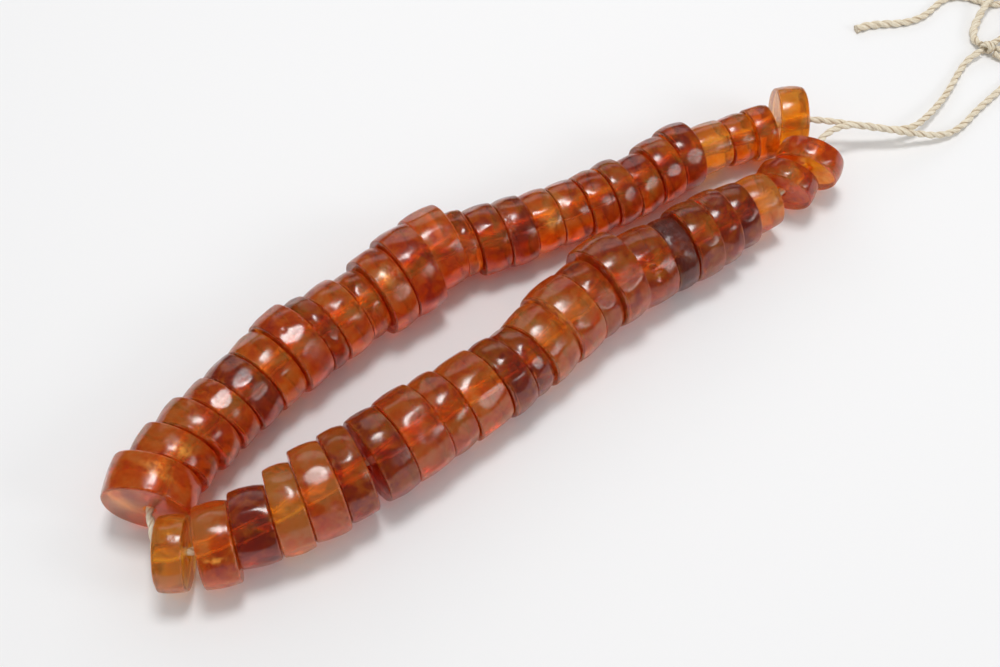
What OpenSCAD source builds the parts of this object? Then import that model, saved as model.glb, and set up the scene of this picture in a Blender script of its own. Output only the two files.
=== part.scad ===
// Amber bead necklace, laid down as a narrow loop. Fifty-one fat amber discs sit on one
// twisted linen twine. The twine turns back on itself at the fold, so the discs lie in a
// back run and a front run, and its two ends are tied in a bow beyond the last discs.
// X runs from the fold towards the bow, Z up. The origin is on the resting surface, at the
// middle of the beads' own box.

/* [Beads] */
// Clear gap between the faces of two beads that touch on the real string
bead_gap = 0.2; // [0.15:0.05:0.3]
// Radius of the worn rounding at a bead's rims
rim_r = 0.8; // [0.5:0.1:1.6]
// Height that a bead's side falls from its middle to its rims
crown = 0.4; // [0.2:0.1:0.8]
// Diameter of the hole drilled through a bead
bore_d = 3; // [2.4:0.1:3.4]

/* [Twine] */
// Diameter of the twisted twine
twine_d = 2; // [1.6:0.1:2]
// Diameter of the bow's knot
knot_d = 4.4; // [4:0.1:4.6]

/* [Hidden] */

// Columns of the bead tables: thickness along the hole, diameter, turn of the hole from X,
// lean of the hole above level, step to the left of the run's line, open space before the
// bead beyond the gap, and shade, from 0 for clear honey to 1 for black cherry
THICK = 0;
DIA = 1;
TURN = 2;
LEAN = 3;
SIDE = 4;
OPEN = 5;
SHADE = 6;
BACK_BEADS = [
    [10.2, 23.2,  46,  0,  1.0, 0,   0.35],
    [ 8.3, 21.6,  37,  0,  0,   0,   0.45],
    [ 7.7, 21.8,  29,  0,  0,   0,   0.40],
    [ 6.8, 21.0,  24,  0,  0,   0,   0.45],
    [ 8.4, 21.0,  20,  0,  0,   0,   0.80],
    [ 8.0, 21.6,  17,  0,  0,   0,   0.35],
    [ 8.8, 23.6,  15,  0,  0,   0,   0.45],
    [ 5.4, 22.2,  12,  0,  0,   0,   0.70],
    [ 8.3, 21.6,   9,  0,  0,   0,   0.40],
    [ 6.2, 19.6,   6,  0,  0.4, 0,   0.40],
    [ 7.8, 23.4,   3,  0,  0.4, 0,   0.50],
    [ 9.3, 24.6,   2,  0,  0.4, 0,   0.55],
    [ 9.8, 23.0,  -2,  0,  2,   0,   0.50],
    [ 5.0, 19.0,  -7,  0,  0.4, 0,   0.45],
    [ 8.0, 19.6, -11,  0,  0,   0,   0.60],
    [ 7.8, 19.4, -10,  0,  0,   0,   0.70],
    [ 7.9, 17.8, -10,  0,  0,   0,   0.50],
    [ 8.0, 17.8,  -9,  0,  0,   0,   0.55],
    [ 7.3, 18.8,  -6,  0,  0,   0,   0.55],
    [ 6.4, 19.4,  -2,  0,  0,   0,   0.55],
    [ 7.7, 17.8,   0,  0, -0.4, 0,   0.55],
    [ 7.6, 19.2,  -3,  0,  0,   0,   0.60],
    [ 7.7, 19.6,  -7,  0,  0.3, 0,   0.65],
    [10.6, 14.8,  -9,  0,  0,   0,   0.15],
    [ 7.5, 14.8, -11,  0,  0,   0,   0.50],
    [ 6.6, 16.0, -19,  0,  0,   0,   0.45],
    [ 8.2, 19.4, -33,  0,  0.4, 1.9, 0.05]
];
FRONT_BEADS = [
    [ 7.0, 18.8, -34,  0, -0.5, 0,   0.10],
    [ 8.7, 20.8, -23,  0, -0.8, 2.1, 0.30],
    [ 9.4, 19.8, -20,  0,  0,   0,   0.90],
    [ 7.4, 22.6, -16,  0,  0,   0,   0.15],
    [ 8.5, 24.2, -12,  0,  0,   0,   0.35],
    [ 7.4, 23.8,  -8,  0,  0,   0,   0.70],
    [ 8.2, 23.6,  -1,  0,  0,   1.6, 0.75],
    [ 9.9, 23.8,   3,  0,  0,   0,   0.45],
    [ 7.8, 22.6,   6,  0,  0,   0,   0.45],
    [10.4, 22.2,   7,  0,  0,   0,   0.35],
    [ 7.0, 21.8,   8,  0,  0,   0,   0.80],
    [ 5.8, 20.4,  13,  0,  0,   0,   0.80],
    [ 9.2, 21.6,  15,  0,  0,   0,   0.35],
    [ 9.8, 23.2,  11,  0,  0.4, 0,   0.30],
    [ 7.2, 22.4,   8,  0,  0,   0,   0.50],
    [ 9.4, 25.2,   3,  0,  0.6, 0,   0.50],
    [10.8, 21.8,  -5,  0,  0,   0,   0.50],
    [ 6.8, 20.8,  -7,  0,  0,   0,   0.95],
    [ 7.8, 22.0,  -6,  0,  0,   0,   0.60],
    [ 7.2, 21.4,  -6,  0,  0.3, 0,   0.65],
    [ 7.3, 19.0,  -9,  0,  0.4, 0,   0.80],
    [ 8.6, 16.6,  -7,  0,  0,   0,   0.20],
    [ 6.1, 18.0,  27, 11, -0.3, 4.2, 0.50],
    [ 6.6, 19.4,  29, 14, -0.6, 2.8, 0.40]
];

// Columns of the flats that were cut along some beads' sides: the bead's number from the
// fold, the flat's angle round the hole from straight up towards -Y, and its depth
BEAD = 0;
ANGLE = 1;
DEPTH = 2;
BACK_FLATS = [
    [ 4, 14, 0.4],
    [ 5,  9, 0.4],
    [ 5, 40, 0.4],
    [ 7, 52, 0.3],
    [11, 44, 0.3],
    [13, 20, 0.5],
    [13, 53, 0.5],
    [14, 45, 0.3],
    [15, 34, 0.4],
    [21, -13, 0.4],
    [22, 42, 0.3],
    [23, 45, 0.4]
];
FRONT_FLATS = [
    [ 3, -14, 0.5],
    [ 3, 18, 0.5],
    [ 3, 49, 0.5],
    [ 3, 80, 0.5],
    [ 5, 11, 0.3],
    [11, 26, 0.4],
    [12, 41, 0.3],
    [15, 35, 0.6],
    [16, 35, 0.6],
    [18, 16, 0.4],
    [20, -7, 0.4],
    [21, 35, 0.3]
];

// Columns of the round dents knocked into some beads: the bead's number, the place along
// the hole from the bead's middle, the angle as above, the hollow's radius and its depth
D_ALONG = 1;
D_ANGLE = 2;
D_RADIUS = 3;
D_DEPTH = 4;
BACK_DENTS = [
    [ 7, -1.7,  4, 2.6, 0.5]
];
FRONT_DENTS = [
    [ 8, -0.7, 39, 4.2, 0.5],
    [17, -1.8, 27, 3.0, 0.7],
    [17, -0.8, 51, 3.4, 0.8]
];

// Middle line of each run on the surface, from the fold to the bow. The height is where the
// taut twine carries a bead that is too small to reach the surface
BACK_ROUTE = [
    [-102.6, 7, 11], [-95, 14, 11], [-88, 17, 11], [-72, 21, 11], [-55, 25.5, 11], [-40, 27, 11],
    [-22, 27, 11], [-8, 28.5, 11], [2, 29, 10.5], [14, 25, 10], [30, 22, 9.5], [45, 19, 9],
    [60, 17.5, 9], [76, 17.5, 9], [88, 15, 8], [98, 11.5, 8.5], [106, 10, 9.5], [118, 6, 10]
];
FRONT_ROUTE = [
    [-106, -4, 10.5], [-98, -8, 11], [-90, -10.5, 11], [-72, -12.5, 11], [-50, -13, 11.5],
    [-28, -12, 11], [-10, -12, 11], [5, -9.5, 11], [20, -6.5, 11], [32, -6, 11], [48, -7.5, 10.5],
    [65, -8, 10], [82, -7.5, 9.5], [90, -6.8, 9.5], [100, -5, 9.5], [110, -2, 10]
];

// The twine's turn at the fold, from the first back bead's hole to the first front bead's
FOLD_ROUTE = [
    [-102.3, 6.8, 11.8], [-103.4, 4.6, 11.5], [-104.3, 2.2, 11.2], [-105.4, -0.6, 10.9],
    [-106.3, -2.4, 10.8], [-106.4, -3.6, 10.7]
];
// Free end beyond the back run: out of the last hole, down to the surface and to the knot
BACK_LEAD = [
    [110.6, 7.4, 9.7], [113.5, 5.2, 9.4], [117.5, 2.4, 8.6], [121.5, -0.6, 7.6], [126, -3.8, 6.4],
    [130.5, -6.8, 5.3], [135, -9.2, 4.5], [140, -10.2, 3.8], [146, -9.2, 3], [151.5, -7.8, 2.3],
    [157, -6, 1.7], [162.5, -3.8, 1.3], [167.5, -1.6, 1], [172.5, 0.2, 1.2], [176, 0.5, 1.8],
    [179.2, 0.4, 2.1]
];
// Free end beyond the front run: over the other end, down to the surface, out in a bend
// and back to the knot
FRONT_LEAD = [
    [103, -3.7, 11.1], [107.2, -2, 11.4], [111.8, -1, 10.9], [116.6, -1, 10], [121, -2.4, 9.2],
    [125, -4.8, 8.3], [129, -7.8, 7.2], [133.2, -10.6, 5.6], [138, -13.2, 4], [142.8, -15.8, 2.6],
    [148, -17.2, 1.6], [154, -16.9, 1.1], [160.5, -15.5, 1], [167, -14.5, 1], [173.5, -13.6, 1],
    [179, -12.8, 1], [183, -10.6, 1], [184.2, -7.4, 1], [182.8, -4.6, 1.4], [181.7, -2.4, 1.8]
];
// The bow's loop, which passes over the tail twice
BOW_LOOP = [
    [181.2, 2.5, 2.1], [181.6, 5, 1.6], [184.2, 8, 1.4], [188.2, 10.4, 1.8], [192.4, 12.2, 2.8],
    [196.8, 13.6, 3.3], [201, 14.2, 3.4], [204.6, 13, 3.4], [206.2, 9.8, 3.4], [205.2, 6.4, 3.3],
    [202.4, 4, 3], [198.6, 2.4, 2.1], [194, 1.2, 1.4], [189.4, 0.7, 1.6], [184, 0.5, 2.1]
];
// The free tail: out of the knot, round under the loop and back along the surface
TAIL = [
    [183.5, -1.4, 2], [187, -3.6, 1.4], [191.6, -4.4, 1], [196.4, -4, 1], [201, -2.2, 1],
    [204.4, 1, 1], [205.8, 5.2, 1], [204, 9, 1], [200.2, 11.6, 1], [196.8, 14.2, 1], [195, 18, 1],
    [192, 21.6, 1], [187.6, 23.4, 1], [182.6, 23, 1], [177.6, 22.2, 1], [172.4, 22.8, 1],
    [167.6, 24.8, 1], [163.4, 27.4, 1], [159.4, 29.4, 1], [155.4, 30.4, 1]
];
KNOT_PLACE = [181.6, 0.1, 2.25];

// Middle of the beads' box in the frame of the routes above, which becomes the origin
ORIGIN = [2.1, 8.7, 0];
// Sides of the twine's tube, and a cutter longer than any bead
TWINE_SIDES = 8;
CUTTER = 60;
HONEY = [0.82, 0.45, 0.10];
CHERRY = [0.26, 0.05, 0.04];
TWINE_COLOR = [0.86, 0.80, 0.66];

// Length of one leg of a route, seen from above
function leg(route, i) = norm([route[i + 1].x - route[i].x, route[i + 1].y - route[i].y]);

// The leg of a route that holds the distance s, and the share of that leg passed
function leg_at(route, s, i = 0) =
    s <= leg(route, i) || i == len(route) - 2
    ? [i, s / leg(route, i)]
    : leg_at(route, s - leg(route, i), i + 1);

function route_point(route, s) =
    let (at = leg_at(route, s))
    route[at[0]] + at[1] * (route[at[0] + 1] - route[at[0]]);

function route_heading(route, s) =
    let (i = leg_at(route, s)[0])
    atan2(route[i + 1].y - route[i].y, route[i + 1].x - route[i].x);

// Height of a bead's middle when it rests on the surface
function rest_height(bead) =
    bead[DIA] / 2 * cos(bead[LEAN]) + bead[THICK] / 2 * sin(abs(bead[LEAN]));

function bead_middle(bead, route, s) =
    let (p = route_point(route, s))
    let (h = route_heading(route, s))
    [p.x - bead[SIDE] * sin(h), p.y + bead[SIDE] * cos(h), max(rest_height(bead), p.z)];

// Distance along the route at which a bead lies as far from the one before as their joint
// asks, measured square to the joint. The first guess s is corrected a few times
function settled(bead, route, before, across, apart, s, tries = 4) =
    tries == 0
    ? s
    : let (short = apart - (bead_middle(bead, route, s) - before) * across)
      settled(bead, route, before, across, apart, s + short, tries - 1);

function next_station(beads, route, i, s) =
    let (joint_turn = (beads[i - 1][TURN] + beads[i][TURN]) / 2)
    let (apart = (beads[i - 1][THICK] + beads[i][THICK]) / 2 + bead_gap + beads[i][OPEN])
    settled(beads[i], route, bead_middle(beads[i - 1], route, s), [cos(joint_turn), sin(joint_turn), 0],
        apart, s + apart);

function stations(beads, route, i = 0, s = 0) =
    let (here = i == 0 ? beads[0][THICK] / 2 : next_station(beads, route, i, s))
    i == len(beads) - 1 ? [here] : concat([here], stations(beads, route, i + 1, here));

function middles(beads, route) =
    let (s = stations(beads, route))
    [for (i = [0 : len(beads) - 1]) bead_middle(beads[i], route, s[i])];

function hole_direction(bead) =
    [cos(bead[TURN]) * cos(bead[LEAN]), sin(bead[TURN]) * cos(bead[LEAN]), sin(bead[LEAN])];

// Turn of a bead's face against its own hole. Where two beads press together, both faces lie
// halfway between the two holes' turns, and an open joint leaves them square
function face_skew(beads, i, other) =
    other < 0 || other >= len(beads) || beads[max(i, other)][OPEN] > 0
    ? 0
    : (beads[other][TURN] - beads[i][TURN]) / 2;

function face_middle(beads, mids, i, side) =
    mids[i] + side * beads[i][THICK] / 2 * hole_direction(beads[i]);

// The twine's line through a run: the first hole's mouth, each joint and the last mouth
function hole_line(beads, mids, first, last) = [
    first,
    for (i = [1 : len(beads) - 1])
        (face_middle(beads, mids, i - 1, 1) + face_middle(beads, mids, i, -1)) / 2,
    last
];

// Half of a bead's outline, from the middle of the near face to the middle of the far face,
// as radius and place along the hole
function bead_outline(r, near, far) =
    let (mid = (far - near) / 2)
    let (half = (far + near) / 2 - rim_r)
    let (edge_r = r - crown - rim_r)
    [
        [0, -near],
        for (a = [0 : 30 : 60]) [edge_r + rim_r * sin(a), mid - half - rim_r * cos(a)],
        for (t = [-1 : 0.5 : 1]) [r - crown * t * t, mid + half * t],
        for (a = [60 : -30 : 0]) [edge_r + rim_r * sin(a), mid + half + rim_r * cos(a)],
        [0, far]
    ];

function tangent(route, i) =
    let (d = route[min(i + 1, len(route) - 1)] - route[max(i - 1, 0)])
    d / norm(d);

function twine_ring(route, i) =
    let (t = tangent(route, i))
    let (side = cross(t, [0, 0, 1]) / norm(cross(t, [0, 0, 1])))
    let (up = cross(side, t))
    [
        for (k = [0.5 : TWINE_SIDES])
            let (a = 360 * k / TWINE_SIDES)
            route[i] + twine_d / 2 * (cos(a) * side + sin(a) * up)
    ];

BACK_MIDDLES = middles(BACK_BEADS, BACK_ROUTE);
FRONT_MIDDLES = middles(FRONT_BEADS, FRONT_ROUTE);
BACK_HOLES = hole_line(BACK_BEADS, BACK_MIDDLES, FOLD_ROUTE[0], BACK_LEAD[0]);
FRONT_HOLES = hole_line(FRONT_BEADS, FRONT_MIDDLES, FOLD_ROUTE[len(FOLD_ROUTE) - 1], FRONT_LEAD[0]);

// Everything beyond one end plane of a bead
module face_cutter(place, skew, side)
    translate([place, 0, 0])
        rotate([0, 0, skew])
            translate([side > 0 ? 0 : -CUTTER, -CUTTER / 2, -CUTTER / 2])
                cube(CUTTER);

// Everything outside a flat along a bead's side
module flat_cutter(r, angle, depth)
    rotate([angle, 0, 0])
        translate([-CUTTER / 2, -CUTTER / 2, r - depth])
            cube(CUTTER);

module dent_cutter(r, dent)
    rotate([dent[D_ANGLE], 0, 0])
        translate([dent[D_ALONG], 0, r - dent[D_DEPTH] + dent[D_RADIUS]])
            sphere(r = dent[D_RADIUS], $fn = 32);

// One turned disc, lying with its hole along X, its faces skewed to those of its neighbours
module bead_body(bead, number, near_skew, far_skew, flats, dents) {
    r = bead[DIA] / 2;
    near = bead[THICK] / 2 + r * tan(abs(near_skew));
    far = bead[THICK] / 2 + r * tan(abs(far_skew));
    difference() {
        rotate([0, 90, 0])
            rotate_extrude($fn = 48)
                polygon(bead_outline(r, near, far));
        if (near_skew != 0)
            face_cutter(-bead[THICK] / 2, near_skew, -1);
        if (far_skew != 0)
            face_cutter(bead[THICK] / 2, far_skew, 1);
        for (f = flats)
            if (f[BEAD] == number)
                flat_cutter(r, f[ANGLE], f[DEPTH]);
        for (d = dents)
            if (d[BEAD] == number)
                dent_cutter(r, d);
    }
}

// A drill along the twine's straight line from one end of a hole to the other
module drill(from, to) {
    d = to - from;
    middle = (from + to) / 2;
    reach = norm(d) / 2 + 3;
    translate(middle)
        rotate([0, acos(d.z / norm(d)), atan2(d.y, d.x)])
            translate([0, 0, -reach])
                cylinder(d = bore_d, h = 2 * reach, $fn = 32);
}

module bead_run(beads, mids, holes, flats, dents)
    translate(-ORIGIN)
        for (i = [0 : len(beads) - 1])
            color(HONEY + beads[i][SHADE] * (CHERRY - HONEY))
                difference() {
                    translate(mids[i])
                        rotate([0, -beads[i][LEAN], beads[i][TURN]])
                            bead_body(beads[i], i + 1, face_skew(beads, i, i - 1),
                                face_skew(beads, i, i + 1), flats, dents);
                    drill(holes[i], holes[i + 1]);
                }

module twine(route) {
    last = len(route) - 1;
    points = [for (i = [0 : last]) each twine_ring(route, i)];
    sides = [
        for (i = [0 : last - 1], k = [0 : TWINE_SIDES - 1])
            let (a = i * TWINE_SIDES + k)
            let (b = i * TWINE_SIDES + (k + 1) % TWINE_SIDES)
            [a, b, b + TWINE_SIDES, a + TWINE_SIDES]
    ];
    start_cap = [for (k = [TWINE_SIDES - 1 : -1 : 0]) k];
    end_cap = [for (k = [0 : TWINE_SIDES - 1]) last * TWINE_SIDES + k];
    color(TWINE_COLOR)
        translate(-ORIGIN)
            polyhedron(points, concat(sides, [start_cap, end_cap]));
}

function reversed(list) = [for (i = [len(list) - 1 : -1 : 0]) list[i]];
function inner(list) = [for (i = [1 : len(list) - 2]) list[i]];

module beads_back_run()
    bead_run(BACK_BEADS, BACK_MIDDLES, BACK_HOLES, BACK_FLATS, BACK_DENTS);

module beads_front_run()
    bead_run(FRONT_BEADS, FRONT_MIDDLES, FRONT_HOLES, FRONT_FLATS, FRONT_DENTS);

module thread()
    twine(concat(reversed(BACK_HOLES), inner(FOLD_ROUTE), FRONT_HOLES));

module back_lead() twine(BACK_LEAD);

module front_lead() twine(FRONT_LEAD);

module knot()
    color(TWINE_COLOR)
        translate(KNOT_PLACE - ORIGIN)
            sphere(d = knot_d, $fn = 32);

module bow_loop() twine(BOW_LOOP);

module tail() twine(TAIL);

beads_back_run();
beads_front_run();
thread();
back_lead();
front_lead();
knot();
bow_loop();
tail();
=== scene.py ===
# %% [markdown]
# # An amber bead necklace
#
# The real object is a string of fifty-one fat amber discs on a linen twine. It was laid down as a
# narrow loop: the twine turns back on itself at the fold, so the discs lie in a back run and a
# front run, and its two ends are tied in a bow beyond the last discs. Every disc was turned or
# filed by hand, polished, and then worn for a long time. That is why no two of them match.
#
# The part's CAD model has the same discs as plain bodies. This lesson builds the look: each disc
# gets its own hand-cut flats, dents and worn rims, the twine gets its twist, and the lights and
# the camera follow a plain studio picture.

# %% Start and the packed part
import math
import random

import bmesh
import bpy
import numpy as np
from mathutils import Matrix, Vector


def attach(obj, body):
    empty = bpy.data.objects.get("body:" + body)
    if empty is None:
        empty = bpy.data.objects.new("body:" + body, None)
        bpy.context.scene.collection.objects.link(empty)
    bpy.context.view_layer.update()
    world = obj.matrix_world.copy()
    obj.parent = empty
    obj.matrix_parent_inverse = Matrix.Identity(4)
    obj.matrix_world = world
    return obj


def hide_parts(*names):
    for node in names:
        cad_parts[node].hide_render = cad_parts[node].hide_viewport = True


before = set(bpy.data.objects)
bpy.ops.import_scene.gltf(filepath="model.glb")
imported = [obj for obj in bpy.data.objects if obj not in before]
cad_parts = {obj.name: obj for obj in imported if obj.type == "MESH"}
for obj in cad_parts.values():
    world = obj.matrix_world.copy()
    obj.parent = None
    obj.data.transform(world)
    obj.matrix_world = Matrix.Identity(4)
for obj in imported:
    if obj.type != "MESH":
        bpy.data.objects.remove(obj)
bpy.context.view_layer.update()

# %% [markdown]
# ## Camera
#
# The picture was taken from above the front left, with the camera tilted well down. A 50 mm lens
# on a 36 mm wide sensor, some 38 cm from the beads, gives the same narrowing towards the bow.

# %% Camera
MM = 0.001
CAMERA_PLACE = Vector((-0.1221, -0.1687, 0.313))
CAMERA_LOOKS = Vector((0.320, 0.441, -0.839))

camera_data = bpy.data.cameras.new("camera")
camera_data.lens = 50
camera_data.sensor_width = 36
camera_data.clip_start = 0.01
camera = bpy.data.objects.new("camera", camera_data)
bpy.context.collection.objects.link(camera)
camera.location = CAMERA_PLACE
camera.rotation_euler = CAMERA_LOOKS.to_track_quat("-Z", "Y").to_euler()
bpy.context.scene.camera = camera
print("camera stands", round(CAMERA_PLACE.length, 3), "m from the origin")

# %% [markdown]
# ## The twine's way
#
# The routes are the middle lines of the twine in millimetres, on the same points as in the CAD
# model. A smooth line through the points stands in for the soft bends of real twine.

# %% Routes of the twine
ORIGIN = Vector((2.1, 8.7, 0))
BACK_LEAD = [
    (110.6, 7.4, 9.7), (113.5, 5.2, 9.4), (117.5, 2.4, 8.6), (121.5, -0.6, 7.6), (126, -3.8, 6.4),
    (130.5, -6.8, 5.3), (135, -9.2, 4.5), (140, -10.2, 3.8), (146, -9.2, 3), (151.5, -7.8, 2.3),
    (157, -6, 1.7), (162.5, -3.8, 1.3), (167.5, -1.6, 1), (172.5, 0.2, 1.2), (176, 0.5, 1.8),
    (179.2, 0.4, 2.1),
]
FRONT_LEAD = [
    (103, -3.7, 11.1), (107.2, -2, 11.4), (111.8, -1, 10.9), (116.6, -1, 10), (121, -2.4, 9.2),
    (125, -4.8, 8.3), (129, -7.8, 7.2), (133.2, -10.6, 5.6), (138, -13.2, 4), (142.8, -15.8, 2.6),
    (148, -17.2, 1.6), (154, -16.9, 1.1), (160.5, -15.5, 1), (167, -14.5, 1), (173.5, -13.6, 1),
    (179, -12.8, 1), (183, -10.6, 1), (184.2, -7.4, 1), (182.8, -4.6, 1.4), (181.7, -2.4, 1.8),
]
BOW_LOOP = [
    (181.2, 2.5, 2.1), (181.6, 5, 1.6), (184.2, 8, 1.4), (188.2, 10.4, 1.8), (192.4, 12.2, 2.8),
    (196.8, 13.6, 3.3), (201, 14.2, 3.4), (204.6, 13, 3.4), (206.2, 9.8, 3.4), (205.2, 6.4, 3.3),
    (202.4, 4, 3), (198.6, 2.4, 2.1), (194, 1.2, 1.4), (189.4, 0.7, 1.6), (184, 0.5, 2.1),
]
TAIL = [
    (183.5, -1.4, 2), (187, -3.6, 1.4), (191.6, -4.4, 1), (196.4, -4, 1), (201, -2.2, 1),
    (204.4, 1, 1), (205.8, 5.2, 1), (204, 9, 1), (200.2, 11.6, 1), (196.8, 14.2, 1), (195, 18, 1),
    (192, 21.6, 1), (187.6, 23.4, 1), (182.6, 23, 1), (177.6, 22.2, 1), (172.4, 22.8, 1),
    (167.6, 24.8, 1), (163.4, 27.4, 1), (159.4, 29.4, 1), (155.4, 30.4, 1),
]
KNOT_PLACE = Vector((181.6, 0.1, 2.25))
# Distance between the points of a smooth line, in mm, and how finely it is drawn at first
STEP = 0.35
FINE_STEPS = 24


def smooth_line(points, step=STEP):
    """Points at even steps on a smooth line through the route's points, and the line's length."""
    p = [Vector(q) for q in points]
    p = [2 * p[0] - p[1], *p, 2 * p[-1] - p[-2]]
    fine = []
    for a, b, c, d in zip(p, p[1:], p[2:], p[3:]):
        for t in np.linspace(0, 1, FINE_STEPS, endpoint=False):
            bend = (2 * a - 5 * b + 4 * c - d) * t * t + (3 * b - a - 3 * c + d) * t**3
            fine.append(0.5 * (2 * b + (c - a) * t + bend))
    fine.append(p[-2])
    away = np.concatenate([[0], np.cumsum([(b - a).length for a, b in zip(fine, fine[1:])])])
    n = max(2, round(away[-1] / step))
    at = np.linspace(0, away[-1], n + 1)
    co = np.array([tuple(q) for q in fine])
    return np.stack([np.interp(at, away, co[:, k]) for k in range(3)], axis=1), away[-1]


WAYS = {"back lead": BACK_LEAD, "front lead": FRONT_LEAD, "bow loop": BOW_LOOP, "tail": TAIL}
for name, route in WAYS.items():
    print(name, round(smooth_line(route)[1], 1), "mm long")

# %% [markdown]
# ## The twine's cross-section
#
# The twine is two plies of linen twisted round each other, so its cross-section is a rounded
# figure eight, narrow at the waist where the plies meet. It could be modelled as two round tubes,
# but one closed outline gives the same groove and stays one clean solid.

# %% The twine's cross-section
TWINE_D = 2.0
PLY_POINTS = 28
WAIST, BULGE, FIBRES = 0.58, 0.44, 0.025


def link(name, data):
    """Puts a new object into the scene."""
    obj = bpy.data.objects.new(name, data)
    bpy.context.collection.objects.link(obj)
    return obj


def ply_section():
    """The twine's cross-section as a closed curve: two plies with a few lumps of fibre."""
    data = bpy.data.curves.new("section", "CURVE")
    data.dimensions = "2D"
    spline = data.splines.new("POLY")
    spline.points.add(PLY_POINTS - 1)
    for k in range(PLY_POINTS):
        a = 2 * math.pi * k / PLY_POINTS
        r = TWINE_D / 2 * (WAIST + BULGE * abs(math.cos(a)) ** 0.9 + FIBRES * math.cos(7 * a))
        spline.points[k].co = (r * math.cos(a) * MM, r * math.sin(a) * MM, 0, 1)
    spline.use_cyclic_u = True
    return data


print("the twine is", TWINE_D, "mm thick with", PLY_POINTS, "points round it")

# %% [markdown]
# ## Twisting the twine
#
# The section is swept along the route with a growing tilt, one full turn for each lay of the
# twine, which is how the plies wind on the real one. The sweep is then a mesh with closed ends.
# An attribute keeps each point's place round and along the twine, so that the fibres drawn later
# follow the twist.

# %% Twine maker
# Length of one full turn of the plies in mm, then height of the surface and reach of a merge in m
LAY = 6.8
SURFACE = 0.00002
MERGE = 1e-6


def sweep(line, length, phase, lay, thick):
    """The mesh of the section along the line, twisted."""
    section = link("section", ply_section())
    data = bpy.data.curves.new("line", "CURVE")
    data.dimensions = "3D"
    data.twist_mode = "MINIMUM"
    data.bevel_mode = "OBJECT"
    data.bevel_object = section
    data.use_fill_caps = True
    spline = data.splines.new("POLY")
    spline.points.add(len(line) - 1)
    for k, p in enumerate(line):
        share = k / (len(line) - 1)
        spline.points[k].co = (*((p - np.array(ORIGIN)) * MM), 1)
        spline.points[k].tilt = phase + 2 * math.pi * share * length / lay
        spline.points[k].radius = thick(share)
    swept = link("line", data)
    bpy.context.view_layer.update()
    mesh = bpy.data.meshes.new_from_object(swept.evaluated_get(bpy.context.evaluated_depsgraph_get()))
    bpy.data.objects.remove(swept)
    bpy.data.objects.remove(section)
    return mesh


def close(mesh):
    """Joins the caps to the tube and turns all faces outwards."""
    bm = bmesh.new()
    bm.from_mesh(mesh)
    bmesh.ops.remove_doubles(bm, verts=bm.verts, dist=MERGE)
    bmesh.ops.recalc_face_normals(bm, faces=bm.faces)
    bm.to_mesh(mesh)
    bm.free()
    mesh.shade_smooth()


def even(share):
    return 1.0


def twine(name, route, phase=0.0, lay=LAY, thick=even, step=STEP):
    """One length of twisted twine along the route: the piece, its middle line and its length."""
    line, length = smooth_line(route, step)
    mesh = sweep(line, length, phase, lay, thick)
    close(mesh)
    co = np.empty(len(mesh.vertices) * 3)
    mesh.vertices.foreach_get("co", co)
    co = co.reshape(-1, 3)
    # Twine that lies on the surface is pressed flat below
    co[:, 2] = np.maximum(co[:, 2], SURFACE)
    mesh.vertices.foreach_set("co", co.ravel())
    ring = np.minimum(np.arange(len(co)) // PLY_POINTS, len(line) - 1) * step
    order = np.arange(len(co)) % PLY_POINTS * 2 * math.pi / PLY_POINTS
    yarn = np.stack([np.cos(order), np.sin(order), ring], axis=1)
    attribute = mesh.attributes.new("yarn", "FLOAT_VECTOR", "POINT")
    attribute.data.foreach_set("vector", yarn.astype(np.float32).ravel())
    obj = link(name, mesh)
    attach(obj, "root")
    middle = (line - np.array(ORIGIN)) * MM
    return obj, middle.tolist(), length * MM


print("one full turn of the plies every", LAY, "mm")

# %% [markdown]
# ## The knot
#
# The bow's knot is two turns of twine drawn tight round the ends that pass through it. A true knot
# could be laid turn by turn, but its inside can't be seen, so a plain coil of thinner, harder
# twisted twine gives the same small lump.

# %% The knot
# Points of the coil, first angle and degrees between two points
COIL_POINTS, COIL_START, COIL_TURN = 33, -100, 25
# Where the coil starts before the knot's middle, its way on with each point, and its radii, in mm
COIL_BACK, COIL_ON, COIL_WIDE, COIL_HIGH, COIL_LIFT = 1.1, 0.075, 1.35, 1.25, 0.15


def knot_wraps():
    """The coil's middle line."""
    wraps = []
    for k in range(COIL_POINTS):
        a = math.radians(COIL_START + COIL_TURN * k)
        side, up = COIL_WIDE * math.cos(a), COIL_LIFT + COIL_HIGH * math.sin(a)
        wraps.append(KNOT_PLACE + Vector((-COIL_BACK + COIL_ON * k, side, up)))
    return wraps


knot, _, knot_length = twine("bow_knot", knot_wraps(), lay=5.5, thick=lambda share: 0.78, step=0.25)
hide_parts("knot")
print("knot:", round(knot_length * 1000), "mm of twine,", len(knot.data.polygons), "faces")

# %% [markdown]
# ## The free ends and the bow
#
# Both ends leave their last bead, come down to the surface and meet in a small bow: one end runs
# out in a bend first, the other goes straight. The bow has one loop and one tail. Twine works
# loose where it is handled, so it swells in the loop and towards the cut end of the tail.

# %% Free ends, loop and tail
SWELL = 0.3


def loose_loop(share):
    """Thickest soon after the loop leaves the knot."""
    return 1 + SWELL * math.exp(-(((share - 0.15) / 0.12) ** 2))


def loose_end(share):
    """Thicker and thicker along the last part of the tail."""
    return 1 + SWELL * max(0, share - 0.7) / 0.3


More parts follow.
